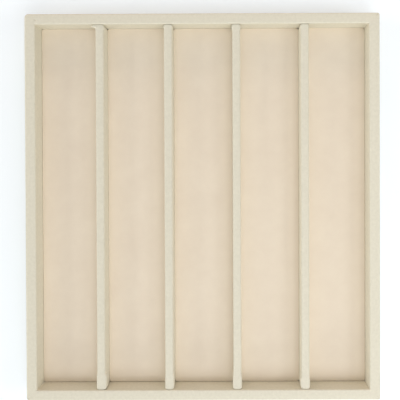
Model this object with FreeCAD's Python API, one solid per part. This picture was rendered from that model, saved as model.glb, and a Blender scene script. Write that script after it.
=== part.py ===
import FreeCAD, Part

import math
import os

from FreeCAD import Vector

# Jewelry tray: a fibreboard box covered in leatherette, with four dividers and five suede floor pads.
# Millimetres, +Z up, X across the tray, +Y to the back, origin at the centre of the resting face.

# Whole tray
TRAY_WIDTH = 305.0
TRAY_LENGTH = 333.0
TRAY_HEIGHT = 26.0
COMPARTMENTS = 5

# Boards and coverings
WALL_BOARD = 7.0
DIVIDER_BOARD = 5.0
BASE_BOARD = 3.0
LEATHERETTE = 1.0
FELT = 0.8

# Rounding of the covered edges, measured on the outside of the leatherette
CORNER_RADIUS = 2.4
RIM_OUTER_RADIUS = 1.8
RIM_INNER_RADIUS = 1.6
DIVIDER_TOP_RADIUS = 1.4
LEAST_RADIUS = 0.3

# The largest share of a wall, or of an upright corner, that one rounding takes
WALL_SHARE = 0.45
CORNER_SHARE = 0.9

# Leatherette turned in under the base, and the felt that hides its edge
TURN_IN = 10.0
FELT_MARGIN = 2.5

# Dividers stand a little below the rim and just clear of the end walls
DIVIDER_DROP = 1.2
DIVIDER_END_CLEARANCE = 0.2

# Floor pads: card, foam and a suede lining turned in under the card
PAD_CARD = 1.5
PAD_FOAM = 2.5
PAD_LINING = 0.5
PAD_CROWN = 0.6
PAD_EDGE_CROWN = 0.3
PAD_END_CROWN = 0.1
PAD_END_DROP = 0.6
PAD_END_RUN = 14.0
PAD_EDGE_RADIUS = 1.0
PAD_TURN_IN = 10.0
PAD_CLEARANCE = 0.1

# Brads
BRAD_DIAMETER = 1.2
BRAD_HEAD_DIAMETER = 2.0
BRAD_HEAD = 0.8
CORNER_BRAD_LENGTH = 25.0
CORNER_BRAD_MARGIN = 5.0
CORNER_BRAD_ROWS = 2
BASE_BRAD_LENGTH = 12.0
BASE_BRAD_MARGIN = 55.0
FRONT_BRAD_COUNT = 3
SIDE_BRAD_COUNT = 4
DIVIDER_BRAD_COUNT = 3

# Worked out from the sizes above
WALL = WALL_BOARD + 2 * LEATHERETTE
DIVIDER = DIVIDER_BOARD + 2 * LEATHERETTE
DIVIDERS = COMPARTMENTS - 1
INNER_WIDTH = TRAY_WIDTH - 2 * WALL
INNER_LENGTH = TRAY_LENGTH - 2 * WALL
COMPARTMENT_WIDTH = (INNER_WIDTH - DIVIDERS * DIVIDER) / COMPARTMENTS
PITCH = COMPARTMENT_WIDTH + DIVIDER
BASE_BOTTOM = FELT + LEATHERETTE
BASE_TOP = BASE_BOTTOM + BASE_BOARD
PAD_TOP = BASE_TOP + 2 * PAD_LINING + PAD_CARD + PAD_FOAM
DIVIDER_TOP = TRAY_HEIGHT - DIVIDER_DROP
SPARE = 5.0
SAME_HEIGHT = 1e-4

ALONG_X = Vector(1, 0, 0)
ALONG_Y = Vector(0, 1, 0)
ALONG_Z = Vector(0, 0, 1)


def block(width, length, bottom, top):
    """A box centred over the origin."""
    corner = Vector(-width / 2, -length / 2, bottom)
    return Part.makeBox(width, length, top - bottom, corner)


def inset_radius(radius, inset):
    """The radius of a rounded edge that lies inset below the finished surface."""
    return max(radius - inset, LEAST_RADIUS)


def fillet_where(solid, radius, wanted):
    """Round the edges that the test picks."""
    return solid.makeFillet(radius, [edge for edge in solid.Edges if wanted(edge)])


def is_upright(edge):
    box = edge.BoundBox
    return box.ZLength > max(box.XLength, box.YLength)


def lies_at(height):
    """A test for the edges that lie at one height."""
    def test(edge):
        box = edge.BoundBox
        return abs(box.ZMin - height) < SAME_HEIGHT and abs(box.ZMax - height) < SAME_HEIGHT
    return test


def rounded_block(width, length, radius, bottom, top):
    """A centred box with rounded upright corners."""
    return fillet_where(block(width, length, bottom, top), radius, is_upright)


def outline(place, start, *steps):
    """A closed loop of lines and arcs. A step is an end point, or an arc's middle and its end point."""
    edges = []
    here = start
    for step in steps + (start,):
        if len(step) == 3:
            middle, end = step[:2], step[2]
            edges.append(Part.Arc(place(*here), place(*middle), place(*end)).toShape())
        else:
            end = step
            edges.append(Part.LineSegment(place(*here), place(*end)).toShape())
        here = end
    return Part.Wire(edges)


def across(u, z):
    return Vector(u, 0, z)


def lengthwise(u, z):
    return Vector(0, u, z)


def swept(loop, direction, length):
    """The solid of a loop drawn through the origin and swept equally to both sides."""
    face = Part.Face(loop)
    face.translate(direction * (-length / 2))
    return face.extrude(direction * length)


def arc_step(centre, radius, degrees, end):
    """An arc step: its middle lies on the circle at the given angle."""
    angle = math.radians(degrees)
    middle_u = centre[0] + radius * math.cos(angle)
    middle_z = centre[1] + radius * math.sin(angle)
    return (middle_u, middle_z, end)


# Walls


def flared_loop(place, half, radius, top):
    """Section of the hollow between two walls, flared where the rim rounds over."""
    low = top - radius
    return outline(
        place,
        (-half, BASE_TOP),
        (-half, low),
        arc_step((-half - radius, low), radius, 45, (-half - radius, top)),
        (-half - radius, top + SPARE),
        (half + radius, top + SPARE),
        (half + radius, top),
        arc_step((half + radius, low), radius, 135, (half, low)),
        (half, BASE_TOP),
    )


def hollow(inset):
    """The space inside the four walls, as the surface inset below the leatherette bounds it."""
    radius = inset_radius(min(RIM_INNER_RADIUS, WALL_SHARE * WALL), inset)
    top = TRAY_HEIGHT - inset
    span_x = flared_loop(across, INNER_WIDTH / 2 + inset, radius, top)
    span_y = flared_loop(lengthwise, INNER_LENGTH / 2 + inset, radius, top)
    return swept(span_x, ALONG_Y, TRAY_LENGTH).common(swept(span_y, ALONG_X, TRAY_WIDTH))


def outer_form(inset, bottom):
    """The tray's outside with its rim rounded, inset below the leatherette."""
    top = TRAY_HEIGHT - inset
    corner = inset_radius(CORNER_RADIUS, inset)
    rim = inset_radius(min(RIM_OUTER_RADIUS, WALL_SHARE * WALL), inset)
    width = TRAY_WIDTH - 2 * inset
    length = TRAY_LENGTH - 2 * inset
    form = rounded_block(width, length, corner, bottom, top)
    return fillet_where(form, min(rim, CORNER_SHARE * corner), lies_at(top))


def wall_frame():
    """The four wall boards as one ring, before the corners are cut."""
    return outer_form(LEATHERETTE, BASE_TOP).cut(hollow(LEATHERETTE))


def plain_base():
    """The base board before its brad holes."""
    corner = inset_radius(CORNER_RADIUS, LEATHERETTE)
    width = TRAY_WIDTH - 2 * LEATHERETTE
    length = TRAY_LENGTH - 2 * LEATHERETTE
    return rounded_block(width, length, corner, BASE_BOTTOM, BASE_TOP)


def wall_covering():
    """The leatherette over all four walls, turned in under the base, before it is mitred."""
    skin = fillet_where(outer_form(0.0, FELT), LEATHERETTE, lies_at(FELT))
    window_width = TRAY_WIDTH - 2 * TURN_IN
    window_length = TRAY_LENGTH - 2 * TURN_IN
    window = block(window_width, window_length, FELT - SPARE, BASE_BOTTOM)
    # The hollow comes last: its flare just touches the rim, which can spoil a cut while the skin is solid
    for inside in (wall_frame(), plain_base(), window, hollow(0.0)):
        skin = skin.cut(inside)
    return skin


def mitre_wedge(start, end):
    """The region of one wall between two corners of the tray, mitred at both."""
    reach = max(WALL, TURN_IN) + SPARE
    outer = Vector(TRAY_WIDTH / 2, TRAY_LENGTH / 2, 0)
    inner = outer - Vector(reach, reach, 0)
    corners = ((start, outer), (end, outer), (end, inner), (start, inner), (start, outer))
    loop = [Vector(sign[0] * corner.x, sign[1] * corner.y, 0) for sign, corner in corners]
    return Part.Face(Part.makePolygon(loop)).extrude(ALONG_Z * TRAY_HEIGHT)


def wall_covers():
    """The covering cut along the mitres into one strip for each wall."""
    ends = {
        "front": ((-1, -1), (1, -1)),
        "right": ((1, -1), (1, 1)),
        "back": ((1, 1), (-1, 1)),
        "left": ((-1, 1), (-1, -1)),
    }
    covering = wall_covering()
    return {wall: covering.common(mitre_wedge(*pair)) for wall, pair in ends.items()}


def wall_boards():
    """Front and back boards run the full width, and the side boards fit between them."""
    frame = wall_frame()
    between = block(TRAY_WIDTH, INNER_LENGTH + 2 * LEATHERETTE, 0, TRAY_HEIGHT)
    front, back = sorted(frame.cut(between).Solids, key=lambda board: board.CenterOfMass.y)
    left, right = sorted(frame.common(between).Solids, key=lambda board: board.CenterOfMass.x)
    return {"front": front, "back": back, "left": left, "right": right}


# Dividers


def divider_places():
    first = -(DIVIDERS - 1) / 2 * PITCH
    return [first + index * PITCH for index in range(DIVIDERS)]


def divider_form(x, inset):
    """A divider with its top edges rounded, inset below the leatherette."""
    half = DIVIDER / 2 - inset
    top = DIVIDER_TOP - inset
    radius = inset_radius(min(DIVIDER_TOP_RADIUS, WALL_SHARE * DIVIDER), inset)
    low = top - radius
    section = outline(
        across,
        (-half, BASE_TOP),
        (-half, low),
        arc_step((radius - half, low), radius, 135, (radius - half, top)),
        (half - radius, top),
        arc_step((half - radius, low), radius, 45, (half, low)),
        (half, BASE_TOP),
    )
    form = swept(section, ALONG_Y, INNER_LENGTH - 2 * DIVIDER_END_CLEARANCE - 2 * inset)
    form.translate(ALONG_X * x)
    return form


# Floor pads


def pad_places():
    first = -(COMPARTMENTS - 1) / 2 * PITCH
    return [first + index * PITCH for index in range(COMPARTMENTS)]


def pad_section(y, half, radius, shoulder, crown, bottom):
    """Section of a pad across its width, at one place along it."""
    def place(u, z):
        return Vector(u, y, z)

    low = shoulder - radius
    return outline(
        place,
        (-half, bottom),
        (-half, low),
        arc_step((radius - half, low), radius, 135, (radius - half, shoulder)),
        (0.0, shoulder + crown, (half - radius, shoulder)),
        arc_step((half - radius, low), radius, 45, (half, low)),
        (half, bottom),
    )


def pad_form(inset, bottom):
    """A pad's outside, inset below the suede, from the given height up."""
    half_width = COMPARTMENT_WIDTH / 2 - PAD_CLEARANCE - inset
    half_length = INNER_LENGTH / 2 - PAD_CLEARANCE - inset
    radius = inset_radius(PAD_EDGE_RADIUS, inset)
    shoulder = PAD_TOP - inset - PAD_CROWN
    end = half_length
    edge = half_length - radius
    flat = half_length - PAD_END_RUN
    # The crown falls away towards both ends: place along the pad, drop of its edge, height of its crown
    stations = (
        (-end, PAD_END_DROP, PAD_END_CROWN),
        (-edge, 0.0, PAD_EDGE_CROWN),
        (-flat, 0.0, PAD_CROWN),
        (flat, 0.0, PAD_CROWN),
        (edge, 0.0, PAD_EDGE_CROWN),
        (end, PAD_END_DROP, PAD_END_CROWN),
    )
    sections = [
        pad_section(y, half_width, radius, shoulder - drop, crown, bottom)
        for y, drop, crown in stations
    ]
    return Part.makeLoft(sections, True, True)


def pad_pieces():
    """Card, foam and lining of one pad, centred on x = 0."""
    card_bottom = BASE_TOP + PAD_LINING
    card_top = card_bottom + PAD_CARD
    filling = pad_form(PAD_LINING, card_bottom)
    box = filling.BoundBox
    card_zone = block(box.XLength + SPARE, box.YLength + SPARE, card_bottom, card_top)
    window_width = COMPARTMENT_WIDTH - 2 * PAD_CLEARANCE - 2 * PAD_TURN_IN
    window_length = INNER_LENGTH - 2 * PAD_CLEARANCE - 2 * PAD_TURN_IN
    window = block(window_width, window_length, BASE_TOP, card_bottom)
    return {
        "pad_card": filling.common(card_zone),
        "pad_foam": filling.cut(card_zone),
        "pad_lining": pad_form(0.0, BASE_TOP).cut(filling).cut(window),
    }


# Felt


def base_felt():
    """Felt over the turned-in edges, stepped up to the base board inside them."""
    outer_width = TRAY_WIDTH - 2 * FELT_MARGIN
    outer_length = TRAY_LENGTH - 2 * FELT_MARGIN
    step_width = TRAY_WIDTH - 2 * TURN_IN
    step_length = TRAY_LENGTH - 2 * TURN_IN
    border = block(outer_width, outer_length, 0.0, FELT)
    raised = block(step_width, step_length, FELT, BASE_BOTTOM)
    recess = block(step_width - 2 * FELT, step_length - 2 * FELT, 0.0, LEATHERETTE)
    return border.fuse(raised).removeSplitter().cut(recess)


# Brads


def brad(start, direction, length):
    """A brad whose flat head is flush with its start."""
    shank = Part.makeCylinder(BRAD_DIAMETER / 2, length, start, direction)
    head = Part.makeCylinder(BRAD_HEAD_DIAMETER / 2, BRAD_HEAD, start, direction)
    return shank.fuse(head).removeSplitter()


def spaced(span, margin, count):
    """Places along a span, evenly spread between two margins."""
    first = margin - span / 2
    if count == 1:
        return [0.0]
    return [first + index * (span - 2 * margin) / (count - 1) for index in range(count)]


def corner_brads():
    x = TRAY_WIDTH / 2 - LEATHERETTE - WALL_BOARD / 2
    y = TRAY_LENGTH / 2 - LEATHERETTE
    board = TRAY_HEIGHT - LEATHERETTE - BASE_TOP
    middle = BASE_TOP + board / 2
    heights = [middle + rise for rise in spaced(board, CORNER_BRAD_MARGIN, CORNER_BRAD_ROWS)]
    return [
        brad(Vector(side * x, end * y, z), ALONG_Y * -end, CORNER_BRAD_LENGTH)
        for side in (-1, 1)
        for end in (-1, 1)
        for z in heights
    ]


def base_brads():
    x = TRAY_WIDTH / 2 - LEATHERETTE - WALL_BOARD / 2
    y = TRAY_LENGTH / 2 - LEATHERETTE - WALL_BOARD / 2
    front = [(u, v) for v in (-y, y) for u in spaced(TRAY_WIDTH, BASE_BRAD_MARGIN, FRONT_BRAD_COUNT)]
    sides = [(u, v) for u in (-x, x) for v in spaced(TRAY_LENGTH, BASE_BRAD_MARGIN, SIDE_BRAD_COUNT)]
    return [brad(Vector(u, v, BASE_BOTTOM), ALONG_Z, BASE_BRAD_LENGTH) for u, v in front + sides]


def divider_brads():
    places = spaced(TRAY_LENGTH, BASE_BRAD_MARGIN, DIVIDER_BRAD_COUNT)
    return [
        brad(Vector(x, y, BASE_BOTTOM), ALONG_Z, BASE_BRAD_LENGTH)
        for x in divider_places()
        for y in places
    ]


# Assembly


def build():
    """Every piece of the tray, keyed by its node name."""
    pins = {
        "corner_brads": corner_brads(),
        "base_brads": base_brads(),
        "divider_brads": divider_brads(),
    }
    nodes = {name: Part.makeCompound(group) for name, group in pins.items()}
    upright = pins["base_brads"] + pins["divider_brads"]
    nodes["base_board"] = plain_base().cut(upright)
    nodes["base_felt"] = base_felt()
    for wall, board in wall_boards().items():
        nodes[f"{wall}_wall_board"] = board.cut(pins["corner_brads"] + pins["base_brads"])
    for wall, cover in wall_covers().items():
        nodes[f"{wall}_wall_cover"] = cover
    for number, x in enumerate(divider_places(), start=1):
        board = divider_form(x, LEATHERETTE)
        nodes[f"divider_cover_{number}"] = divider_form(x, 0.0).cut(board)
        nodes[f"divider_board_{number}"] = board.cut(pins["divider_brads"])
    layers = pad_pieces()
    for number, x in enumerate(pad_places(), start=1):
        for layer, solid in layers.items():
            nodes[f"{layer}_{number}"] = solid.translated(ALONG_X * x)
    return nodes


def main():
    os.makedirs("parts", exist_ok=True)
    for name, shape in build().items():
        shape.exportStep(f"parts/{name}.step")
        print(name, len(shape.Solids), shape.isValid(), round(shape.Volume, 1))


main()
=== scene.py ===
import math

import bpy
from mathutils import Matrix, Vector, noise

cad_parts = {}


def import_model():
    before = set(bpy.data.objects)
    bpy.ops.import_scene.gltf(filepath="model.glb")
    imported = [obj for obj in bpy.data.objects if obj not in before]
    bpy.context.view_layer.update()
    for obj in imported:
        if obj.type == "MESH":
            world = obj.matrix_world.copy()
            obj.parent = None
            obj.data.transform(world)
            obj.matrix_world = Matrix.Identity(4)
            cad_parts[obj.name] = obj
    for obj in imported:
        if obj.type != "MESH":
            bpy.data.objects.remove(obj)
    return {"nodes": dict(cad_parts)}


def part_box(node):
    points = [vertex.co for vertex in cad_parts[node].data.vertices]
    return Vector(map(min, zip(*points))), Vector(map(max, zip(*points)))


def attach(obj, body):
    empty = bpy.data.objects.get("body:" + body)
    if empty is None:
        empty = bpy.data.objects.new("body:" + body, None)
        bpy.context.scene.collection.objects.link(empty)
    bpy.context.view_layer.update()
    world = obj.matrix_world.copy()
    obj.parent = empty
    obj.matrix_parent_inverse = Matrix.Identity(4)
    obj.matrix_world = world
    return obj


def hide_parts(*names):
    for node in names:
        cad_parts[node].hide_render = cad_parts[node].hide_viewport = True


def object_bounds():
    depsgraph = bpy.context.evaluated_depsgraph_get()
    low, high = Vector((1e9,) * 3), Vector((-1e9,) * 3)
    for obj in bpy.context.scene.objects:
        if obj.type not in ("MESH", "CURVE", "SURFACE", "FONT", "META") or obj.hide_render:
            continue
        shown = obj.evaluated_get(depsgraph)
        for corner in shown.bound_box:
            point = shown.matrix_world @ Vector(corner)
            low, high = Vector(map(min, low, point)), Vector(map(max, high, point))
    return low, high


# Looks of the jewelry tray: leatherette over the walls and dividers, suede over the floor pads, felt below.
# Metres, in the frame of the solids: +Z up, X across the tray, +Y to the back.

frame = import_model()
cad_low, cad_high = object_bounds()

MM = 0.001
DIVIDERS = sum(node.startswith("divider_cover") for node in frame["nodes"])
COMPARTMENTS = DIVIDERS + 1

# Sizes that the solids give
HALF_WIDTH = cad_high.x
HALF_LENGTH = cad_high.y
RIM_TOP = cad_high.z
BASE_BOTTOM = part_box("base_board")[0].z
BASE_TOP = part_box("base_board")[1].z
CARD_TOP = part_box("pad_card_1")[1].z
FELT_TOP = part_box("front_wall_cover")[0].z
LEATHERETTE = BASE_BOTTOM - FELT_TOP
SIDE_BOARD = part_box("left_wall_board")
WALL = SIDE_BOARD[1].x - SIDE_BOARD[0].x + 2 * LEATHERETTE

# Rounding of the tray's corners, which differ as they are folded by hand
BACK_LEFT = 3.4 * MM
BACK_RIGHT = 1.9 * MM
FRONT_LEFT = 2.6 * MM
FRONT_RIGHT = 1.9 * MM

# Rounding of the corners on the solids, which the leatherette's inside doesn't pass
SOLID_CORNER = 2.4 * MM

# Rounding of the covered edges. The rim's inner edge is sharper than on the solids and overhangs a little
RIM_OUTER_RADIUS = 1.8 * MM
RIM_INNER_RADIUS = 1.0 * MM
RIM_LIP = 0.25 * MM
RIM_LIP_DROP = 3 * MM
DIVIDER_TOP_RADIUS = 1.4 * MM

# Width of the leatherette turned in under the base
TURN_IN = 10 * MM

# Leatherette: a little thinner than the room left for it, so it lies clear of the boards
SKIN = 0.9 * LEATHERETTE
INNER_CORNER = 0.4 * MM
RIM_CROWN = 0.12 * MM

# Unevenness of the walls, which fades out below a height towards the base
WALL_RIPPLE = 0.10 * MM
WALL_RIPPLE_SIZE = 22 * MM
WALL_RIPPLE_FULL = 3 * BASE_TOP

# Mesh of the wall covering: spacing along a wall, angles round a corner, and steps along the section
WALL_CELL = 3.2 * MM
CORNER_CELL = 0.8 * MM
CORNER_REACH = 12 * MM
CORNER_ANGLES = (45.0, 43.0, 37.0, 29.0, 20.0, 10.0)
ARC_STEPS = 6
TURN_IN_STEPS = 5
OUTSIDE_STEPS = 12
RIM_STEPS = 8
LIP_STEPS = 4
INSIDE_STEPS = 9

# Small puckers in the rim where the leatherette is folded round a corner: (place across, place along)
RIM_DIMPLES = (
    (9.7 * MM - HALF_WIDTH, HALF_LENGTH - 5.1 * MM),
    (HALF_WIDTH - 2.2 * MM, HALF_LENGTH - 1.6 * MM),
    (HALF_WIDTH - 2.4 * MM, 2.0 * MM - HALF_LENGTH),
    (2.6 * MM - HALF_WIDTH, 2.2 * MM - HALF_LENGTH),
)
DIMPLE_DEPTH = 1.1 * MM
DIMPLE_RADIUS = 0.7 * MM

# Leatherette on the dividers. The corner share is how far a corner reaches each way
DIVIDER_CROWN = 0.15 * MM
DIVIDER_END_RADIUS = 0.5 * MM
DIVIDER_CORNER = 0.85
DIVIDER_RIPPLE = 0.07 * MM
DIVIDER_RIPPLE_SIZE = 20 * MM
DIVIDER_TOP_RIPPLE = 0.5

# Mesh of a divider's covering: places across its flat top, spacing along it, and steps down its sides
DIVIDER_TOP_SHARES = (-1.0, -0.5, 0.0, 0.5, 1.0)
DIVIDER_CELL = 4 * MM
DIVIDER_SIDE_STEPS = 10
FOLD_CELL = 0.6 * MM
FOLD_REACH = 16 * MM

# Folded ends, in millimetres: how far the doubled leatherette stands out to the left and right, how long
# it is, and how far from the end its left and right edges begin to round in
FRONT_FOLDS = (
    ((0.5, 1.1), 14.0, (1.0, 1.8)),
    ((0.2, 0.5), 13.0, (1.5, 1.5)),
    ((0.5, 0.5), 12.0, (1.5, 1.8)),
    ((0.8, 0.4), 10.0, (2.2, 2.2)),
)
BACK_FOLDS = (
    ((0.3, 0.5), 5.0, (1.2, 1.2)),
    ((0.4, 0.5), 4.0, (1.2, 1.2)),
    ((0.5, 0.4), 5.0, (1.2, 1.2)),
    ((0.4, 0.4), 4.0, (1.2, 1.2)),
)
FOLD_LIFT = 0.15 * MM
FOLD_EDGE = 1.8 * MM
FOLD_END_SHARE = 0.1
FOLD_LOW = 10.5 * MM
FOLD_FULL = 18 * MM

# The loose tuck at the back of the first divider: (distance from the end, how far it stands out)
TUCK_DIVIDER = 1
TUCK_EDGE = (
    (0.0, 2.2 * MM),
    (0.6 * MM, 3.3 * MM),
    (1.2 * MM, 4.0 * MM),
    (1.8 * MM, 3.2 * MM),
    (2.3 * MM, 1.6 * MM),
    (2.8 * MM, 0.0),
)
TUCK_DROP = 3.0 * MM

# Suede pads: crown over the foam, the turned-in edge below the card, and how far the soft edge spreads
SUEDE = 0.15 * MM
PAD_EDGE_RADIUS = 0.22 * MM
PAD_SPREAD = 0.08 * MM
PAD_CORNER = 1.6 * MM
PAD_CROWN = 0.6 * MM
PAD_START_CROWN = 0.2 * MM
PAD_END_FALL = 14 * MM
PAD_TURN_IN = 10 * MM
PAD_RIPPLE = 0.06 * MM
PAD_RIPPLE_SIZE = 30 * MM
FOAM_GAP = 0.05 * MM

# Mesh of a pad: spacing over its top, and steps round its edge, down its side and below the card
PAD_CELL = 5 * MM
PAD_END_CELL = 1.2 * MM
PAD_SIDE_CELL = 0.8 * MM
PAD_SIDE_REACH = 4.8 * MM
PAD_ARC_STEPS = 4
PAD_SIDE_STEPS = 4
PAD_UNDER_STEPS = 5

# A pad's front and left edges are rounder than the others: how far they drop, and over what distance
PAD_FRONT_DROP = 1.0 * MM
PAD_FRONT_RUN = 6 * MM
PAD_LEFT_DROP = 0.3 * MM
PAD_LEFT_RUN = 4 * MM

# The front edges draw back from the wall, and so does the left edge of one pad that lies loose
PAD_FRONT_BACK = 0.2 * MM
LOOSE_PAD = 1
LOOSE_PAD_BACK = 0.12 * MM
PAD_BACK_RUN = 3 * MM

# Height above the card at which an edge has moved all the way
PAD_SOFT_RISE = 2 * MM

# Air pressure that swells a pad, and the most that a point of it may rise
PAD_PRESSURE = 0.05
PAD_SWELL = 0.45 * MM
SWELL_FRAMES = 20

# Felt, with the heights of the rings round its edge as shares of its thickness
FELT = 0.8 * MM
FELT_CELL = 5 * MM
FELT_STEP_RUN = 3 * MM
FELT_RIPPLE = 0.08 * MM
FELT_RIPPLE_SIZE = 18 * MM
FELT_SEED = 3
FELT_GAP = 0.1 * MM
FELT_EDGE_SHARES = (0.75, 0.25)

# Camera, fitted to the tray's outline in the photograph: pixels, millimetres, metres and degrees
PHOTO_SIDE = 400
FOCAL_PIXELS = 506.4
SENSOR = 36.0
CAMERA_PLACE = (0.0241, 0.0383, 0.4600)
CAMERA_PITCH = 0.385
CAMERA_ROLL = 0.081
CAMERA_TURN = -0.220
SHIFT_RIGHT = 29.8
SHIFT_DOWN = -34.0


# Mesh making

SUBDIVISIONS = 1

# How far apart in the noise the unevenness of one piece is from the next
SEED_STRIDE = (17.3, 5.1, 9.7)


def make_piece(name, vertices, faces, material, node):
    """A smooth mesh that stands for one node of the solids."""
    mesh = bpy.data.meshes.new(name)
    mesh.from_pydata([tuple(point) for point in vertices], [], faces)
    mesh.validate()
    mesh.update()
    mesh.shade_smooth()
    piece = bpy.data.objects.new(name, mesh)
    bpy.context.scene.collection.objects.link(piece)
    mesh.materials.append(material)
    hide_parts(node)
    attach(piece, "root")
    return piece


def subdivide(piece):
    modifier = piece.modifiers.new("smooth", "SUBSURF")
    modifier.levels = SUBDIVISIONS
    modifier.render_levels = SUBDIVISIONS


def ripple(point, size, seed):
    """Smooth unevenness between about -1 and 1, the same on each run."""
    place = Vector(point) / size + Vector([seed * stride for stride in SEED_STRIDE])
    return noise.noise(place)


def ease(value, low, high):
    """0 below low, 1 above high, and a smooth step between."""
    share = min(max((value - low) / (high - low), 0.0), 1.0)
    return share * share * (3 - 2 * share)


def between(value, points):
    """The height over a value on a line through (value, height) points, and 0 past its ends."""
    for (low, start), (high, end) in zip(points, points[1:]):
        if low <= value <= high:
            return start + (end - start) * (value - low) / (high - low)
    return 0.0


def arc_points(centre, radius, start, end, steps):
    """Points on an arc in a section, from one angle to another in degrees."""
    points = []
    for step in range(steps + 1):
        angle = math.radians(start + (end - start) * step / steps)
        points.append((centre[0] + radius * math.cos(angle), centre[1] + radius * math.sin(angle)))
    return points


def line_points(start, end, steps):
    """Points between two places in a section, both ends left out."""
    return [
        tuple(a + (b - a) * step / steps for a, b in zip(start, end))
        for step in range(1, steps)
    ]


def even_places(half, cell):
    """Places from -half to half, about one cell apart."""
    count = max(2, round(2 * half / cell))
    return [half * (2 * step / count - 1) for step in range(count + 1)]


def close_at_ends(half, reach, fine_cell, cell):
    """Places from -half to half, closer together within reach of both ends."""
    fine = [half - step * fine_cell for step in range(int(reach / fine_cell))]
    middle = even_places(fine[-1] - fine_cell, cell)
    return [-place for place in fine] + middle + fine[::-1]


# Capped forms: a grid on top, rings round it, and a second grid that closes the form

DIAGONAL = math.sqrt(0.5)


def border_loop(count_x, count_y):
    """Grid places round the edge of a grid, counterclockwise from above."""
    loop = [(i, 0) for i in range(count_x)]
    loop += [(count_x - 1, j) for j in range(1, count_y)]
    loop += [(i, count_y - 1) for i in range(count_x - 2, -1, -1)]
    loop += [(0, j) for j in range(count_y - 2, 0, -1)]
    return loop


def outward(i, j, count_x, count_y, corner):
    """Direction in plan that points away from a grid's edge. corner is its share each way at a corner."""
    x = (i == count_x - 1) - (i == 0)
    y = (j == count_y - 1) - (j == 0)
    return (corner * x, corner * y) if x and y else (x, y)


def ring_coordinate(place, direction, reach, half):
    """A grid edge's coordinate moved out by reach. Below 0, reach draws the whole edge in."""
    if reach >= 0:
        return place + reach * direction
    return place * (half + reach) / half


def capped_form(xs, ys, top, rings, close, corner=DIAGONAL):
    """Vertices and faces of a closed form. top and close list heights over the grid.

    rings holds (reach across, reach along, height) from the top grid's edge to the closing grid's.
    """
    count_x = len(xs)
    count_y = len(ys)
    grid = [(x, y) for x in xs for y in ys]
    upper = [(x, y, height) for (x, y), height in zip(grid, top)]
    lower = [(x, y, height) for (x, y), height in zip(grid, close)]
    around = []
    for reach_x, reach_y, height in rings:
        for i, j in border_loop(count_x, count_y):
            direction = outward(i, j, count_x, count_y, corner)
            x = ring_coordinate(xs[i], direction[0], reach_x, xs[-1])
            y = ring_coordinate(ys[j], direction[1], reach_y, ys[-1])
            around.append((x, y, height))
    return upper + around + lower, capped_faces(count_x, count_y, len(rings))


def capped_faces(count_x, count_y, ring_count):
    """Faces of a capped form: both grids, and the bands between their edges and the rings."""
    loop = border_loop(count_x, count_y)
    around = len(loop)
    grid = count_x * count_y
    lower_start = grid + ring_count * around

    def at(i, j, start=0):
        return start + i * count_y + j

    faces = []
    for i in range(count_x - 1):
        for j in range(count_y - 1):
            faces.append((at(i, j), at(i + 1, j), at(i + 1, j + 1), at(i, j + 1)))
            corners = (at(i, j, lower_start), at(i, j + 1, lower_start))
            faces.append(corners + (at(i + 1, j + 1, lower_start), at(i + 1, j, lower_start)))
    rows = [[at(i, j) for i, j in loop]]
    rows += [[grid + ring * around + k for k in range(around)] for ring in range(ring_count)]
    rows += [[at(i, j, lower_start) for i, j in loop]]
    for above, below in zip(rows, rows[1:]):
        for k in range(around):
            after = (k + 1) % around
            faces.append((above[k], below[k], below[after], above[after]))
    return faces


def rings_over(reach_x, reach_y, rise, low, steps):
    """Rings over a rounded edge, from the flat top down to its foot."""
    angles = [math.radians(90 - 90 * step / steps) for step in range(1, steps + 1)]
    return [(reach_x * math.cos(a), reach_y * math.cos(a), low + rise * math.sin(a)) for a in angles]


def rings_between(start, end, steps):
    """Rings from one ring, left out, to another."""
    return line_points(start, end, steps) + [end]


# Leatherette over the walls


def wall_section(depth):
    """Path of the wall covering at a depth below its surface: (inward distance, height)."""
    bottom = FELT_TOP + depth
    top = RIM_TOP - depth
    inner_face = WALL - depth
    low_centre = (LEATHERETTE, FELT_TOP + LEATHERETTE)
    outer_centre = (RIM_OUTER_RADIUS, RIM_TOP - RIM_OUTER_RADIUS)
    inner_centre = (WALL - RIM_INNER_RADIUS, RIM_TOP - RIM_INNER_RADIUS)
    lip_foot = (inner_face, RIM_TOP - RIM_LIP_DROP)
    path = [(TURN_IN, bottom)]
    path += line_points((TURN_IN, bottom), (low_centre[0], bottom), TURN_IN_STEPS)
    path += arc_points(low_centre, LEATHERETTE - depth, -90, -180, ARC_STEPS)
    path += line_points((depth, low_centre[1]), (depth, outer_centre[1]), OUTSIDE_STEPS)
    path += arc_points(outer_centre, RIM_OUTER_RADIUS - depth, 180, 90, ARC_STEPS)
    path += line_points((outer_centre[0], top), (inner_centre[0], top), RIM_STEPS)
    path += arc_points(inner_centre, RIM_INNER_RADIUS - depth, 90, 0, ARC_STEPS)
    path += line_points((inner_face, inner_centre[1]), lip_foot, LIP_STEPS) + [lip_foot]
    path += line_points(lip_foot, (inner_face, BASE_TOP), INSIDE_STEPS)
    path.append((inner_face, BASE_TOP))
    return path


def section_normals(path):
    """Direction away from the board at each point of a section."""
    normals = []
    for index in range(len(path)):
        before = path[max(index - 1, 0)]
        after = path[min(index + 1, len(path) - 1)]
        run = (after[0] - before[0], after[1] - before[1])
        length = math.hypot(*run)
        normals.append((-run[1] / length, run[0] / length))
    return normals


def wall_stations(half_run, corner_radii):
    """Places along a wall: corner angles at both ends, and shares of the straight between them."""
    corner = [math.radians(angle) for angle in CORNER_ANGLES]
    half = half_run - max(corner_radii)
    places = close_at_ends(half, CORNER_REACH, CORNER_CELL, WALL_CELL)
    stations = [("start", angle) for angle in corner]
    stations += [("straight", place / half) for place in places]
    return stations + [("end", angle) for angle in reversed(corner)]


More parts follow.
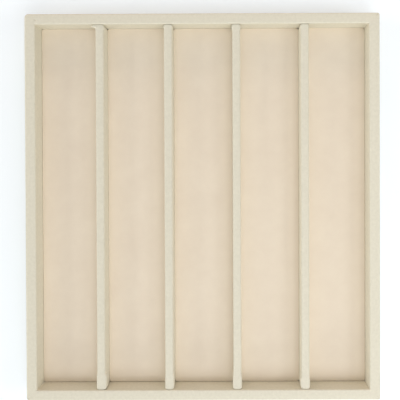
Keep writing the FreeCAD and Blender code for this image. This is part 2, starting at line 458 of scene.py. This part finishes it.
def wall_point(station, inward, height, wall):
    """Place in a wall's own axes: along the wall, out from the tray's middle, up."""
    half_run, half_depth, corner_radii = wall
    kind, value = station
    at_start = kind == "start" or (kind == "straight" and value < 0)
    radius = max(corner_radii[0 if at_start else 1] - inward, INNER_CORNER)
    run = half_run - inward - radius
    if kind == "straight":
        return Vector((value * run, half_depth - inward, height))
    side = -1 if at_start else 1
    along = side * (run + radius * math.sin(value))
    return Vector((along, half_depth - inward - radius + radius * math.cos(value), height))


def dimple(place):
    """Share of a pucker's full depth at a place on the rim."""
    gaps = [math.hypot(place.x - x, place.y - y) for x, y in RIM_DIMPLES]
    return max(math.exp(-((gap / DIMPLE_RADIUS) ** 2)) for gap in gaps)


def wall_proud(place, inward, normal_in, normal_up, seed):
    """How far the leatherette stands out from its plain surface."""
    fade = ease(place.z, BASE_TOP, WALL_RIPPLE_FULL)
    uneven = WALL_RIPPLE * ripple(place, WALL_RIPPLE_SIZE, seed) * fade
    across = (inward - WALL / 2) / (WALL / 2)
    crown = RIM_CROWN * max(0.0, 1 - across * across)
    near_rim = ease(place.z, RIM_TOP - RIM_LIP_DROP, RIM_TOP - RIM_INNER_RADIUS)
    lip = RIM_LIP * max(normal_in, 0.0) * near_rim
    return uneven + lip + (crown - DIMPLE_DEPTH * dimple(place)) * max(normal_up, 0.0)


def wall_cover(name, turn, wall, material, seed):
    """One mitred strip of leatherette, from its turned-in edge over the rim to the floor inside.

    wall holds half the wall's length, its distance from the middle and the corner radii at both ends.
    """
    rotation = Matrix.Rotation(turn, 3, "Z")
    half_run, half_depth, corner_radii = wall
    board_side = (half_run, half_depth, [min(radius, SOLID_CORNER) for radius in corner_radii])
    stations = wall_stations(half_run, corner_radii)
    outside = wall_section(0.0)
    inside = wall_section(SKIN)
    normals = section_normals(outside)
    vertices = []
    for station in stations:
        for (inward, height), (normal_in, normal_up) in zip(outside, normals):
            place = rotation @ wall_point(station, inward, height, wall)
            proud = wall_proud(place, inward, normal_in, normal_up, seed)
            moved_in = inward + proud * normal_in
            moved_up = height + proud * normal_up
            vertices.append(rotation @ wall_point(station, moved_in, moved_up, wall))
        for inward, height in inside:
            vertices.append(rotation @ wall_point(station, inward, height, board_side))
    faces = strip_faces(len(stations), len(outside))
    piece = make_piece(f"{name}_leatherette", vertices, faces, material, name)
    subdivide(piece)


def strip_faces(count, across):
    """Faces of a closed strip whose rows hold an outside path and then an inside path."""
    row = 2 * across
    last = count - 1

    def at(station, step):
        return station * row + step

    ring = list(range(across)) + list(range(row - 1, across - 1, -1))
    faces = []
    for station in range(last):
        for a, b in zip(ring, ring[1:] + ring[:1]):
            faces.append((at(station, a), at(station, b), at(station + 1, b), at(station + 1, a)))
    for outer in range(across - 1):
        inner = across + outer
        faces.append((at(0, outer), at(0, inner), at(0, inner + 1), at(0, outer + 1)))
        faces.append((at(last, outer), at(last, outer + 1), at(last, inner + 1), at(last, inner)))
    return faces


# Leatherette over the dividers


def fold_out(from_end, height, fold, side):
    """How far an end fold stands out on one side (0 left, 1 right), at a distance from the end."""
    stands_out, length, rounds_in = fold
    along = 1 - ease(from_end, length * MM - FOLD_EDGE, length * MM)
    rounded = FOLD_END_SHARE + (1 - FOLD_END_SHARE) * ease(from_end, 0.0, rounds_in[side] * MM)
    return stands_out[side] * MM * along * rounded * ease(height, FOLD_LOW, FOLD_FULL)


def tuck_out(from_end, height, top):
    """How far the loose tuck stands out."""
    return between(from_end, TUCK_EDGE) * ease(height, top - TUCK_DROP, top - TUCK_DROP / 2)


def divider_shape(number, point, half_width, half_length, top):
    """Moves a point of a plain divider to where the folds and unevenness put it."""
    x, y, z = point
    share = x / half_width
    side = 0 if x < 0 else 1
    front = fold_out(half_length + y, z, FRONT_FOLDS[number - 1], side)
    back = fold_out(half_length - y, z, BACK_FOLDS[number - 1], side)
    out = front + back
    if number == TUCK_DIVIDER and side == 0:
        out += tuck_out(half_length - y, z, top)
    upper = ease(z, FOLD_LOW, FOLD_FULL)
    wave = DIVIDER_RIPPLE * ripple(point, DIVIDER_RIPPLE_SIZE, number) * upper
    lift = FOLD_LIFT * min(1.0, (front + back) / MM) * ease(z, FOLD_FULL, top)
    crown = DIVIDER_CROWN * (1 - share * share) * ease(z, top - DIVIDER_TOP_RADIUS, top)
    return x + share * (out + wave), y, z + lift + crown + DIVIDER_TOP_RIPPLE * wave


def divider_rings(depth, top):
    """Rings of a divider's covering at a depth below its surface, from the top down."""
    across = DIVIDER_TOP_RADIUS - depth
    along = DIVIDER_END_RADIUS - depth
    low = top - DIVIDER_TOP_RADIUS
    rings = rings_over(across, along, across, low, ARC_STEPS)
    return rings + rings_between((across, along, low), (across, along, BASE_TOP), DIVIDER_SIDE_STEPS)


def divider_cover(number, material):
    """The leatherette over one divider's top, sides and ends."""
    node = f"divider_cover_{number}"
    low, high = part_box(node)
    centre_x = (low.x + high.x) / 2
    half_width = (high.x - low.x) / 2
    top = high.z
    flat = half_width - DIVIDER_TOP_RADIUS
    xs = [flat * share for share in DIVIDER_TOP_SHARES]
    ys = close_at_ends(high.y - DIVIDER_END_RADIUS, FOLD_REACH, FOLD_CELL, DIVIDER_CELL)
    count = len(xs) * len(ys)
    rings = divider_rings(0.0, top) + divider_rings(SKIN, top)[::-1]
    vertices, faces = capped_form(xs, ys, [top] * count, rings, [top - SKIN] * count, DIVIDER_CORNER)
    shaped = []
    for point in vertices:
        x, y, z = divider_shape(number, point, half_width, high.y, top)
        shaped.append((x + centre_x, y, z))
    piece = make_piece(f"{node}_leatherette", shaped, faces, material, node)
    subdivide(piece)


# Suede pads and their foam


def pad_rings(depth, shoulder, bottom):
    """Rings of a pad at a depth below its surface: round the edge and down its side."""
    radius = PAD_EDGE_RADIUS - depth
    low = shoulder - PAD_EDGE_RADIUS
    rings = rings_over(radius, radius, radius, low, PAD_ARC_STEPS)
    return rings + rings_between((radius, radius, low), (radius, radius, bottom), PAD_SIDE_STEPS)


def lining_rings(depth, shoulder, bottom):
    """Rings of a pad's lining: those of the pad, then turned in below the card."""
    foot = bottom + depth
    radius = PAD_EDGE_RADIUS - depth
    inner = PAD_EDGE_RADIUS - PAD_TURN_IN
    turned = rings_between((radius, radius, foot), (inner, inner, foot), PAD_UNDER_STEPS)
    return pad_rings(depth, shoulder, foot) + turned


def swollen(vertices, faces, free):
    """Heights of a closed form's first points, as many as free says, once air has pushed them up."""
    mesh = bpy.data.meshes.new("swelling")
    mesh.from_pydata(vertices, [], faces)
    form = bpy.data.objects.new("swelling", mesh)
    scene = bpy.context.scene
    scene.collection.objects.link(form)
    held = form.vertex_groups.new(name="held")
    held.add(range(free, len(vertices)), 1.0, "REPLACE")
    cloth = form.modifiers.new("swell", "CLOTH")
    cloth.settings.vertex_group_mass = "held"
    cloth.settings.use_pressure = True
    cloth.settings.uniform_pressure_force = PAD_PRESSURE
    cloth.settings.effector_weights.gravity = 0.0
    cloth.point_cache.frame_end = SWELL_FRAMES
    for step in range(1, SWELL_FRAMES + 1):
        scene.frame_set(step)
    result = form.evaluated_get(bpy.context.evaluated_depsgraph_get())
    rises = [result.data.vertices[index].co.z - vertices[index][2] for index in range(free)]
    scene.frame_set(1)
    bpy.data.objects.remove(form)
    return [vertices[index][2] + min(max(rise, 0.0), PAD_SWELL) for index, rise in enumerate(rises)]


def pad_plan(number):
    """Centre, grid places, shoulder height and bottom of one pad."""
    low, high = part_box(f"pad_lining_{number}")
    spread = PAD_SPREAD - PAD_EDGE_RADIUS
    xs = close_at_ends((high.x - low.x) / 2 + spread, PAD_SIDE_REACH, PAD_SIDE_CELL, PAD_CELL)
    ys = close_at_ends(high.y + spread, PAD_END_FALL, PAD_END_CELL, PAD_CELL)
    return (low.x + high.x) / 2, xs, ys, high.z - PAD_CROWN, low.z


def pad_top(number):
    """Heights of a pad's top over its grid: a low, uneven crown, swollen by simulated pressure."""
    _, xs, ys, shoulder, bottom = pad_plan(number)
    heights = []
    for x in xs:
        for y in ys:
            crown = PAD_START_CROWN * (1 - (x / xs[-1]) ** 2) * ease(ys[-1] - abs(y), 0.0, PAD_END_FALL)
            heights.append(shoulder + crown + PAD_RIPPLE * ripple((x, y, 0.0), PAD_RIPPLE_SIZE, number))
    rings = pad_rings(0.0, shoulder, bottom)
    vertices, faces = capped_form(xs, ys, heights, rings, [bottom] * len(heights))
    return swollen(vertices, faces, len(heights))


def pad_piece(number, node, name, material, top, rings, close):
    """One closed layer of a pad, put in its compartment."""
    centre_x, xs, ys, _, _ = pad_plan(number)
    vertices, faces = capped_form(xs, ys, top, rings, close)
    half_x = max(x for x, _, _ in vertices)
    half_y = max(y for _, y, _ in vertices)
    placed = []
    for point in vertices:
        x, y, z = soft_edges(number, half_x, half_y, rounded_corner(half_x, half_y, point))
        placed.append((x + centre_x, y, z))
    return make_piece(name, placed, faces, material, node)


def rounded_corner(half_x, half_y, point):
    """Moves a point near a pad's corner in, so that the corner is round in plan."""
    x, y, z = point
    u = 1 - (half_x - abs(x)) / PAD_CORNER
    v = 1 - (half_y - abs(y)) / PAD_CORNER
    if u <= 0 or v <= 0:
        return point
    round_u = u * math.sqrt(1 - v * v / 2)
    round_v = v * math.sqrt(1 - u * u / 2)
    x = math.copysign(half_x - PAD_CORNER * (1 - round_u), x)
    y = math.copysign(half_y - PAD_CORNER * (1 - round_v), y)
    return x, y, z


def nearness(distance, run):
    """1 at an edge, falling evenly to 0 at the given distance from it."""
    return max(0.0, 1 - distance / run)


def soft_edges(number, half_x, half_y, point):
    """Moves a point near a pad's front or left edge down and away from the wall, above the card."""
    x, y, z = point
    from_left = half_x + x
    from_front = half_y + y
    upper = ease(z, CARD_TOP, CARD_TOP + PAD_SOFT_RISE)
    front_drop = PAD_FRONT_DROP * nearness(from_front, PAD_FRONT_RUN) ** 2
    left_drop = PAD_LEFT_DROP * nearness(from_left, PAD_LEFT_RUN) ** 2
    back = PAD_FRONT_BACK * nearness(from_front, PAD_BACK_RUN)
    aside = LOOSE_PAD_BACK * nearness(from_left, PAD_BACK_RUN) if number == LOOSE_PAD else 0.0
    return x + aside * upper, y + back * upper, z - max(front_drop, left_drop) * upper


def pad(number, suede_cloth, foam_block):
    """The suede lining of one pad and the foam inside it."""
    _, _, _, shoulder, bottom = pad_plan(number)
    top = pad_top(number)
    under = [height - SUEDE for height in top]
    rings = lining_rings(0.0, shoulder, bottom) + lining_rings(SUEDE, shoulder, bottom)[::-1]
    node = f"pad_lining_{number}"
    lining = pad_piece(number, node, f"{node}_suede", suede_cloth, top, rings, under)
    subdivide(lining)
    foam_top = [height - FOAM_GAP for height in under]
    foam_rings = pad_rings(SUEDE + FOAM_GAP, shoulder, CARD_TOP)
    card = [CARD_TOP] * len(top)
    node = f"pad_foam_{number}"
    filling = pad_piece(number, node, f"{node}_slab", foam_block, foam_top, foam_rings, card)


# Felt under the base


def felt_rise(x, y, half_x, half_y):
    """How far the felt steps up from the turned-in leatherette to the base board."""
    inset = min(half_x - abs(x), half_y - abs(y))
    edge = TURN_IN - (HALF_WIDTH - half_x)
    return LEATHERETTE * ease(inset, edge, edge + FELT_STEP_RUN)


def base_felt(material):
    """The felt sheet that the tray rests on."""
    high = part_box("base_felt")[1]
    round_edge = FELT / 2
    xs = even_places(high.x - round_edge, FELT_CELL)
    ys = even_places(high.y - round_edge, FELT_CELL)
    upper = []
    underside = []
    for x in xs:
        for y in ys:
            rise = felt_rise(x, y, high.x, high.y)
            wave = FELT_RIPPLE * (0.5 + 0.5 * ripple((x, y, 0.0), FELT_RIPPLE_SIZE, FELT_SEED))
            upper.append(FELT - FELT_GAP + rise)
            underside.append(wave + rise)
    rings = [(round_edge, round_edge, FELT * share) for share in FELT_EDGE_SHARES]
    vertices, faces = capped_form(xs, ys, upper, rings, underside)
    piece = make_piece("base_felt_sheet", vertices, faces, material, "base_felt")
    subdivide(piece)


# Materials

# Colours, as 8-bit screen values at two places of a pattern
LEATHERETTE_COLOURS = ((0.3, (208, 203, 185)), (0.7, (215, 210, 192)))
SUEDE_COLOURS = ((0.3, (229, 216, 197)), (0.7, (234, 222, 203)))
FOAM_COLOURS = ((0.2, (206, 198, 170)), (0.7, (240, 235, 214)))
FELT_COLOURS = ((0.35, (168, 150, 128)), (0.65, (196, 180, 158)))
FIBREBOARD_COLOURS = ((0.35, (128, 98, 66)), (0.65, (166, 134, 98)))
GREYBOARD_COLOURS = ((0.35, (136, 134, 128)), (0.65, (168, 166, 160)))
BRAD_COLOURS = ((0.3, (150, 150, 152)), (0.7, (196, 196, 198)))
SUEDE_SHEEN = (0.90, 0.78, 0.60, 1.0)
WHITE = (1.0, 1.0, 1.0, 1.0)

# Fineness of the patterns, in cells to a metre
LEATHERETTE_MOTTLE = 420.0
LEATHERETTE_SOFT = 90.0
LEATHERETTE_GRAIN = 1100.0
LEATHERETTE_FINE = 2600.0
SUEDE_NAP = 45.0
SUEDE_BRUSHED = 240.0
SUEDE_FIBRE = 3000.0
FOAM_CELLS = 900.0
FELT_FLECK = 700.0
FIBREBOARD_FLECK = 900.0
GREYBOARD_FLECK = 1100.0
FIBRES_TO_FLECK = 4
BRAD_STREAK = 1500.0

# Bumps: (strength, depth)
SOFT_BUMP = (0.1, 0.4 * MM)
GRAIN_BUMP = (0.25, 0.12 * MM)
FINE_BUMP = (0.15, 0.05 * MM)
BRUSHED_BUMP = (0.15, 0.3 * MM)
NAP_BUMP = (0.4, 0.08 * MM)
CELL_BUMP = (0.8, 0.4 * MM)
FELT_BUMP = (0.5, 0.3 * MM)
BOARD_BUMP = (0.5, 0.1 * MM)
STREAK_BUMP = (0.2, 0.02 * MM)


def new_material(name):
    """An empty material, its nodes and its surface shader."""
    material = bpy.data.materials.new(name)
    material.use_nodes = True
    shader = material.node_tree.nodes["Principled BSDF"]
    return material, material.node_tree, shader


def set_inputs(node, **values):
    """Sets a node's inputs by name, with an underscore for each space in a name."""
    for socket, value in values.items():
        node.inputs[socket.replace("_", " ")].default_value = value


def add_node(tree, kind, **values):
    """A node with the given input values."""
    node = tree.nodes.new(kind)
    set_inputs(node, **values)
    return node


def object_noise(tree, scale, detail=3.0, roughness=0.55):
    """Noise fixed to the piece, with the given count of cells in a metre."""
    place = tree.nodes.new("ShaderNodeTexCoord")
    texture = add_node(tree, "ShaderNodeTexNoise", Scale=scale, Detail=detail, Roughness=roughness)
    tree.links.new(place.outputs["Object"], texture.inputs["Vector"])
    return texture.outputs["Fac"]


def object_cells(tree, scale):
    """Rounded cells fixed to the piece."""
    place = tree.nodes.new("ShaderNodeTexCoord")
    texture = add_node(tree, "ShaderNodeTexVoronoi", Scale=scale)
    texture.feature = "SMOOTH_F1"
    tree.links.new(place.outputs["Object"], texture.inputs["Vector"])
    return texture.outputs["Distance"]


def colour_ramp(tree, factor, stops):
    """A colour that follows a factor between two (place, colour) stops."""
    ramp = tree.nodes.new("ShaderNodeValToRGB")
    for element, (place, colour) in zip(ramp.color_ramp.elements, stops):
        element.position = place
        element.color = (*linear(colour), 1.0)
    tree.links.new(factor, ramp.inputs["Fac"])
    return ramp.outputs["Color"]


def linear(colour):
    """A colour given as 8-bit sRGB screen values, as the renderer counts light."""
    shares = [value / 255 for value in colour]
    return tuple(v / 12.92 if v <= 0.04045 else ((v + 0.055) / 1.055) ** 2.4 for v in shares)


def bump(tree, *heights):
    """Stacked bumps: (height, strength, depth) from the coarsest to the finest."""
    normal = None
    for height, strength, depth in heights:
        node = add_node(tree, "ShaderNodeBump", Strength=strength, Distance=depth)
        tree.links.new(height, node.inputs["Height"])
        if normal is not None:
            tree.links.new(normal, node.inputs["Normal"])
        normal = node.outputs["Normal"]
    return normal


def dress(tree, shader, colour, normal, **values):
    """Gives a surface shader its colour, its bumps and its plain values."""
    tree.links.new(colour, shader.inputs["Base Color"])
    tree.links.new(normal, shader.inputs["Normal"])
    set_inputs(shader, **values)


def leatherette_material():
    material, tree, shader = new_material("leatherette")
    mottle = object_noise(tree, LEATHERETTE_MOTTLE, detail=4.0)
    grain = object_cells(tree, LEATHERETTE_GRAIN)
    fine = object_noise(tree, LEATHERETTE_FINE)
    soft = object_noise(tree, LEATHERETTE_SOFT)
    colour = colour_ramp(tree, mottle, LEATHERETTE_COLOURS)
    normal = bump(tree, (soft, *SOFT_BUMP), (grain, *GRAIN_BUMP), (fine, *FINE_BUMP))
    dress(tree, shader, colour, normal, Roughness=0.6, Specular_IOR_Level=0.25)
    return material


def suede_material():
    material, tree, shader = new_material("suede")
    nap = object_noise(tree, SUEDE_NAP, detail=6.0, roughness=0.65)
    fibre = object_noise(tree, SUEDE_FIBRE, detail=4.0)
    brushed = object_noise(tree, SUEDE_BRUSHED, detail=4.0)
    colour = colour_ramp(tree, nap, SUEDE_COLOURS)
    normal = bump(tree, (brushed, *BRUSHED_BUMP), (fibre, *NAP_BUMP))
    dress(tree, shader, colour, normal, Roughness=0.95, Specular_IOR_Level=0.1)
    set_inputs(shader, Sheen_Weight=0.08, Sheen_Roughness=0.5, Sheen_Tint=SUEDE_SHEEN)
    return material


def fibrous_material(name, colours, scale, depth):
    """Pressed fibres: felt, greyboard and fibreboard. depth is the bump of the fibres."""
    material, tree, shader = new_material(name)
    fleck = object_noise(tree, scale, detail=6.0, roughness=0.7)
    fibre = object_noise(tree, FIBRES_TO_FLECK * scale, detail=5.0)
    colour = colour_ramp(tree, fleck, colours)
    normal = bump(tree, (fibre, *depth))
    dress(tree, shader, colour, normal, Roughness=0.92, Specular_IOR_Level=0.15)
    return material


def foam_material():
    material, tree, shader = new_material("foam")
    cells = object_cells(tree, FOAM_CELLS)
    colour = colour_ramp(tree, cells, FOAM_COLOURS)
    dress(tree, shader, colour, bump(tree, (cells, *CELL_BUMP)), Roughness=0.9)
    return material


def brad_material():
    material, tree, shader = new_material("brads")
    streak = object_noise(tree, BRAD_STREAK)
    colour = colour_ramp(tree, streak, BRAD_COLOURS)
    dress(tree, shader, colour, bump(tree, (streak, *STREAK_BUMP)), Metallic=1.0, Roughness=0.35)
    return material


def dress_solids(materials):
    """Gives each solid that stays its finish."""
    for node, solid in frame["nodes"].items():
        for word, material in materials.items():
            if word in node:
                solid.data.materials.clear()
                solid.data.materials.append(material)


# Room

FLOOR_HALF = 3.0
FLOOR_COLOUR = (0.75, 0.80, 0.83, 1.0)
FLOOR_GLOW = 0.20

# Soft light from all round, and lamps: (place, side, watts, colour)
WORLD_LIGHT = 0.485
NEUTRAL = (1.0, 1.0, 1.0)
WARM = (1.0, 0.74, 0.60)
LAMPS = {
    "key": ((0.25, -0.60, 0.90), 0.6, 2.5, NEUTRAL),
    "front": ((0.0, -2.32, 0.62), 1.2, 18.0, NEUTRAL),
    "left": ((-2.26, 0.0, 0.82), 1.2, 27.0, NEUTRAL),
    "back": ((0.0, 1.17, 0.25), 0.6, 4.3, WARM),
    "right": ((0.80, -0.10, 0.56), 0.5, 2.9, NEUTRAL),
    "corner": ((0.25, -0.25, 0.70), 0.4, 0.30, NEUTRAL),
}


def camera():
    data = bpy.data.cameras.new("camera")
    data.sensor_width = SENSOR
    data.lens = FOCAL_PIXELS / PHOTO_SIDE * SENSOR
    data.shift_x = -SHIFT_RIGHT / PHOTO_SIDE
    data.shift_y = SHIFT_DOWN / PHOTO_SIDE
    turns = (
        Matrix.Rotation(math.radians(CAMERA_ROLL), 4, "Y")
        @ Matrix.Rotation(math.radians(-CAMERA_PITCH), 4, "X")
        @ Matrix.Rotation(math.radians(CAMERA_TURN), 4, "Z")
    )
    eye = bpy.data.objects.new("camera", data)
    eye.matrix_world = Matrix.Translation(CAMERA_PLACE) @ turns
    bpy.context.scene.collection.objects.link(eye)
    bpy.context.scene.camera = eye


def math_node(tree, operation, first, second):
    """Output of a math node on two inputs. The second is another node's output or a plain number."""
    node = tree.nodes.new("ShaderNodeMath")
    node.operation = operation
    tree.links.new(first, node.inputs[0])
    if isinstance(second, float):
        node.inputs[1].default_value = second
    else:
        tree.links.new(second, node.inputs[1])
    return node.outputs[0]


def seen_straight(tree, strength):
    """The strength for what the camera, a reflection or glass sees, and none for light on the tray."""
    path = tree.nodes.new("ShaderNodeLightPath")
    either = math_node(tree, "MAXIMUM", path.outputs["Is Camera Ray"], path.outputs["Is Glossy Ray"])
    seen = math_node(tree, "MAXIMUM", either, path.outputs["Is Transmission Ray"])
    return math_node(tree, "MULTIPLY", seen, strength)


def floor():
    mesh = bpy.data.meshes.new("floor")
    corners = [(-FLOOR_HALF, -FLOOR_HALF, 0), (FLOOR_HALF, -FLOOR_HALF, 0)]
    corners += [(FLOOR_HALF, FLOOR_HALF, 0), (-FLOOR_HALF, FLOOR_HALF, 0)]
    mesh.from_pydata(corners, [], [(0, 1, 2, 3)])
    plane = bpy.data.objects.new("floor", mesh)
    bpy.context.scene.collection.objects.link(plane)
    material, tree, shader = new_material("floor")
    set_inputs(shader, Base_Color=FLOOR_COLOUR, Roughness=1.0, Specular_IOR_Level=0.0, Emission_Color=WHITE)
    tree.links.new(seen_straight(tree, FLOOR_GLOW), shader.inputs["Emission Strength"])
    mesh.materials.append(material)


def lamps():
    for name, (place, side, power, colour) in LAMPS.items():
        data = bpy.data.lights.new(name, "AREA")
        data.size = side
        data.energy = power
        data.color = colour
        lamp = bpy.data.objects.new(name, data)
        lamp.location = place
        lamp.rotation_euler = (-Vector(place)).to_track_quat("-Z", "Y").to_euler()
        lamp.visible_camera = False
        bpy.context.scene.collection.objects.link(lamp)


def world():
    """A sky that is white where it is seen, and lights the tray more softly."""
    sky = bpy.data.worlds.new("world")
    sky.use_nodes = True
    tree = sky.node_tree
    background = tree.nodes["Background"]
    set_inputs(background, Color=WHITE)
    strength = math_node(tree, "MAXIMUM", seen_straight(tree, 1.0), WORLD_LIGHT)
    tree.links.new(strength, background.inputs["Strength"])
    bpy.context.scene.world = sky


# The tray

# Walls: turn from the back wall, half the length, distance from the middle, and corners at both ends
WALLS = {
    "front": (math.pi, HALF_WIDTH, HALF_LENGTH, (FRONT_RIGHT, FRONT_LEFT)),
    "back": (0.0, HALF_WIDTH, HALF_LENGTH, (BACK_LEFT, BACK_RIGHT)),
    "left": (math.pi / 2, HALF_LENGTH, HALF_WIDTH, (FRONT_LEFT, BACK_LEFT)),
    "right": (-math.pi / 2, HALF_LENGTH, HALF_WIDTH, (BACK_RIGHT, FRONT_RIGHT)),
}

camera()

leatherette = leatherette_material()
suede = suede_material()
foam = foam_material()
felt = fibrous_material("felt", FELT_COLOURS, FELT_FLECK, FELT_BUMP)
fibreboard = fibrous_material("fibreboard", FIBREBOARD_COLOURS, FIBREBOARD_FLECK, BOARD_BUMP)
greyboard = fibrous_material("greyboard", GREYBOARD_COLOURS, GREYBOARD_FLECK, BOARD_BUMP)
brads = brad_material()

for seed, (side, (turn, *wall)) in enumerate(WALLS.items(), start=1):
    wall_cover(f"{side}_wall_cover", turn, wall, leatherette, seed)
for number in range(1, DIVIDERS + 1):
    divider_cover(number, leatherette)
for number in range(1, COMPARTMENTS + 1):
    pad(number, suede, foam)
base_felt(felt)
dress_solids({"board": fibreboard, "card": greyboard, "brads": brads})

floor()
lamps()
world()
bpy.context.scene.view_settings.view_transform = "Standard"
